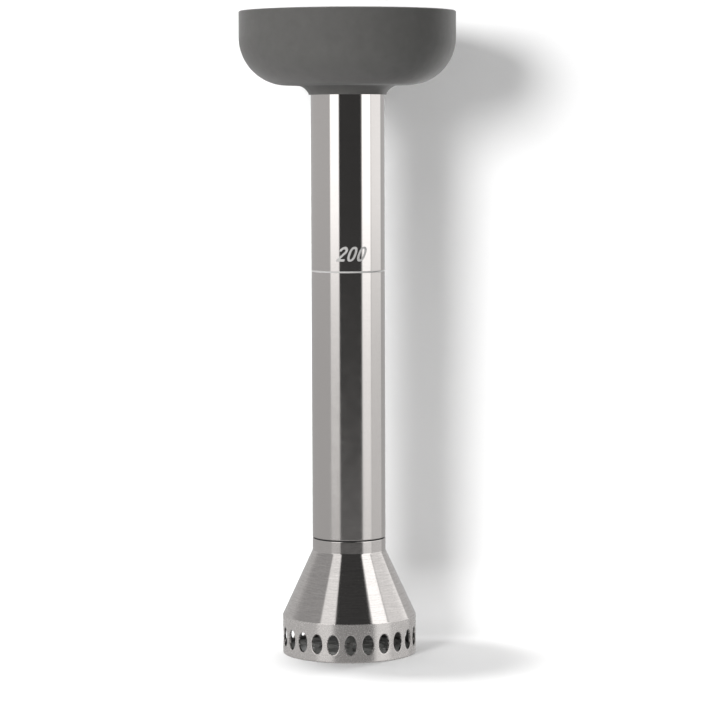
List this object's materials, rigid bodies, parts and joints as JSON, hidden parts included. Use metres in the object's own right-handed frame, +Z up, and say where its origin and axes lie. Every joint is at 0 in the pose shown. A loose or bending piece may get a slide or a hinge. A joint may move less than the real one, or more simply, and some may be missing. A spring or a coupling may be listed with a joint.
{
  "type": "sous vide circulator",
  "caption": "Stick immersion circulator for a water bath: matt bowl-shaped head, polished steel tube with a depth line, and a push-fit perforated foot.",
  "frame": {"origin": "centre of the foot's lower rim, on the surface it stands on", "axes": "+Z up along the tube to the head, -Y the front, where the number on the tube and the buttons face"},
  "size_m": [0.1122, 0.1122, 0.334],
  "materials": {
    "polished_steel": "polished, lightly brushed towards the foot",
    "plain_steel": "machined",
    "heater_steel": "drawn, slightly heat-tinted",
    "aluminium": "satin",
    "bronze": "sintered, oily",
    "ferrite": "ground",
    "laminations": "stacked sheet edges",
    "head_plastic": "fine matt texture",
    "cover_plastic": "fine matt texture",
    "black_plastic": "moulded",
    "grey_plastic": "moulded",
    "white_plastic": "moulded",
    "switch_black": "moulded",
    "impeller_plastic": "moulded",
    "relay_blue": "moulded",
    "terminal_green": "moulded",
    "capacitor_sleeve": "shrunk sleeve",
    "circuit_board": "solder mask",
    "lens": "polished",
    "black_rubber": "matt",
    "button_rubber": "soft matt",
    "red_silicone": "smooth sleeve",
    "black_silicone": "smooth sleeve",
    "white_silicone": "smooth sleeve"
  },
  "bodies": {
    "foot": {"foot_shell": "polished_steel", "foot_base": "grey_plastic"},
    "stick": {"tube": "polished_steel", "bulkhead": "black_plastic", "tube_gasket": "black_rubber", "foot_seal": "black_rubber", "heater_coil_outer": "heater_steel", "heater_coil_inner": "heater_steel", "heater_nuts": "plain_steel", "temperature_probe": "heater_steel", "level_pins": "heater_steel", "shaft_support_tube": "plain_steel", "lower_bush": "bronze", "shaft_seal": "black_rubber", "upper_bush": "bronze", "motor_bracket": "aluminium", "bracket_screws": "plain_steel", "motor_can": "plain_steel", "motor_end_cap": "black_plastic", "motor_magnets": "ferrite", "motor_bearings": "bronze", "heater_leads": "red_silicone", "probe_lead": "white_silicone", "motor_leads": "black_silicone", "head_shell": "head_plastic", "case_plugs": "head_plastic", "neck_seal": "black_rubber", "tube_clamp": "aluminium", "tube_clamp_screws": "plain_steel", "top_cover": "cover_plastic", "cover_gasket": "black_rubber", "case_screws": "plain_steel", "display_lens": "lens", "control_board": "circuit_board", "control_board_screws": "plain_steel", "display_module": "white_plastic", "tact_switches": "switch_black", "buzzer": "black_plastic", "board_connector": "black_plastic", "power_board": "circuit_board", "power_board_screws": "plain_steel", "transformer": "laminations", "relay": "relay_blue", "filter_capacitor": "capacitor_sleeve", "terminal_block": "terminal_green", "heat_sink": "aluminium", "cord_gland": "black_plastic", "gland_nut": "black_plastic"},
    "rotor": {"rotor_shaft": "plain_steel", "impeller": "impeller_plastic", "impeller_nut": "plain_steel", "rotor_core": "laminations"},
    "minus": {"button_minus": "button_rubber"},
    "power": {"button_power": "button_rubber"},
    "plus": {"button_plus": "button_rubber"}
  },
  "joints": [
    {"name": "foot_pull", "type": "slide", "parent": "foot", "child": "stick", "axis": [0, 0, 1], "range_m": [0, 0.07]},
    {"name": "rotor_spin", "type": "hinge", "parent": "stick", "child": "rotor", "pos_m": [0, 0, 0.05], "axis": [0, 0, 1], "continuous": true},
    {"name": "minus_press", "type": "slide", "parent": "stick", "child": "minus", "axis": [0, 0, -1], "range_m": [0, 0.0008], "stiffness_N_per_m": 500},
    {"name": "power_press", "type": "slide", "parent": "stick", "child": "power", "axis": [0, 0, -1], "range_m": [0, 0.0008], "stiffness_N_per_m": 500},
    {"name": "plus_press", "type": "slide", "parent": "stick", "child": "plus", "axis": [0, 0, -1], "range_m": [0, 0.0008], "stiffness_N_per_m": 500}
  ]
}
